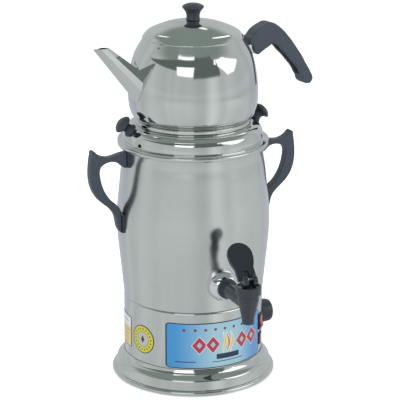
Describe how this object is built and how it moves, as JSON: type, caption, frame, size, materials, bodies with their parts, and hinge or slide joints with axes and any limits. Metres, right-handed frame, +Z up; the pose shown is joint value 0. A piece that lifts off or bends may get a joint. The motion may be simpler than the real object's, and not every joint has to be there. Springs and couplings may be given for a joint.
{
  "type": "samovar",
  "caption": "Electric samovar: waisted steel water tank with a lever tap, two side handles and a domed foot, and a lidded teapot with spout and grip that stands on the tank lid.",
  "frame": {"origin": "on the table, on the axis of the round tank", "axes": "+Z up along the tank axis, -Y towards the tap, +X towards the side of the thermostat knob and the teapot grip"},
  "size_m": [0.3397, 0.308, 0.5104],
  "materials": {
    "polished_steel": "mirror-polished stainless sheet",
    "tank_steel": "dull stainless sheet",
    "chrome_dome": "bright chrome plating",
    "handle_plastic": "fine-textured moulded phenolic",
    "tap_plastic": "glossy moulded plastic",
    "stem_steel": "drawn stainless",
    "seal_rubber": "silicone",
    "foot_rubber": "moulded rubber",
    "cover_steel": "galvanised sheet",
    "screw_steel": "zinc plated",
    "element_sheath": "heat-dulled steel sheath",
    "brass_parts": "turned brass",
    "black_plastic": "moulded plastic",
    "rocker_red": "glossy moulded plastic",
    "lamp_amber": "translucent moulded plastic",
    "thermostat_case": "ivory moulded plastic",
    "capillary_copper": "copper tube",
    "wire_insulation": "silicone insulation",
    "label_blue": "printed film",
    "label_yellow": "printed film"
  },
  "bodies": {
    "root": {"base_posts": "cover_steel", "base_shell": "polished_steel", "bottom_cover": "cover_steel", "bottom_cover_screws": "screw_steel", "element_nuts": "brass_parts", "element_seals": "seal_rubber", "foot_ring": "polished_steel", "front_label": "label_blue", "heating_element": "element_sheath", "inlet_nuts": "screw_steel", "inlet_pins": "brass_parts", "inlet_screws": "screw_steel", "internal_wires": "wire_insulation", "pilot_lamp_bezel": "black_plastic", "pilot_lamp_lens": "lamp_amber", "power_inlet": "black_plastic", "rocker_frame": "black_plastic", "round_sticker": "label_yellow", "rubber_feet": "foot_rubber", "side_handle_brackets": "tank_steel", "side_handle_left": "handle_plastic", "side_handle_right": "handle_plastic", "side_handle_screws": "screw_steel", "side_sticker": "label_yellow", "tank_barrel": "polished_steel", "tank_floor": "tank_steel", "tap_body": "tap_plastic", "tap_bonnet": "tap_plastic", "tap_escutcheon": "chrome_dome", "tap_gasket": "seal_rubber", "tap_nut": "tap_plastic", "tap_spring": "stem_steel", "terminal_block": "thermostat_case", "terminal_block_screw": "screw_steel", "thermal_cutout": "black_plastic", "thermostat_bezel": "black_plastic", "thermostat_body": "thermostat_case", "thermostat_capillary": "capillary_copper", "thermostat_screws": "screw_steel"},
    "tank_lid": {"tank_lid": "polished_steel", "lid_knob_left": "handle_plastic", "lid_knob_right": "handle_plastic", "lid_knob_screws": "screw_steel"},
    "teapot": {"teapot_body": "polished_steel", "teapot_base_disc": "polished_steel", "teapot_spout": "polished_steel", "teapot_handle": "handle_plastic", "teapot_handle_bracket": "tank_steel", "teapot_handle_screw": "screw_steel"},
    "teapot_lid": {"teapot_lid": "polished_steel", "teapot_lid_knob": "handle_plastic", "teapot_lid_screw": "screw_steel"},
    "tap_stem": {"tap_stem": "stem_steel", "tap_seat_cup": "seal_rubber", "tap_lever_pin": "stem_steel"},
    "tap_lever": {"tap_lever": "tap_plastic"},
    "thermostat_knob": {"thermostat_knob": "black_plastic", "thermostat_shaft": "stem_steel"},
    "rocker": {"rocker": "rocker_red"}
  },
  "joints": [
    {"name": "tank_lid_lift", "type": "slide", "parent": "root", "child": "tank_lid", "axis": [0, 0, 1], "range_m": [0, 0.12]},
    {"name": "teapot_lift", "type": "slide", "parent": "tank_lid", "child": "teapot", "axis": [0, 0, 1], "range_m": [0, 0.15]},
    {"name": "teapot_lid_lift", "type": "slide", "parent": "teapot", "child": "teapot_lid", "axis": [0, 0, 1], "range_m": [0, 0.1]},
    {"name": "tap_stem_lift", "type": "slide", "parent": "root", "child": "tap_stem", "axis": [0, 0, 1], "range_m": [0, 0.003], "deforming": ["tap_spring"]},
    {"name": "tap_lever_swing", "type": "hinge", "parent": "tap_stem", "child": "tap_lever", "pos_m": [0, -0.18, 0.1808], "axis": [1, 0, 0], "range_deg": [0, 56], "stiffness_Nm_per_rad": 0.03, "springref_deg": -28.65},
    {"name": "thermostat_turn", "type": "hinge", "parent": "root", "child": "thermostat_knob", "pos_m": [0.0963, 0, 0.068], "axis": [1, 0, 0], "range_deg": [0, 270]},
    {"name": "rocker_tip", "type": "hinge", "parent": "root", "child": "rocker", "pos_m": [0.07228, -0.05853, 0.078], "axis": [0.6293, 0.7771, 0], "range_deg": [0, 14]}
  ],
  "couplings": [
    {"joint": "tap_lever_swing", "follows": "tap_stem_lift", "rad_per_m": 319.95}
  ]
}
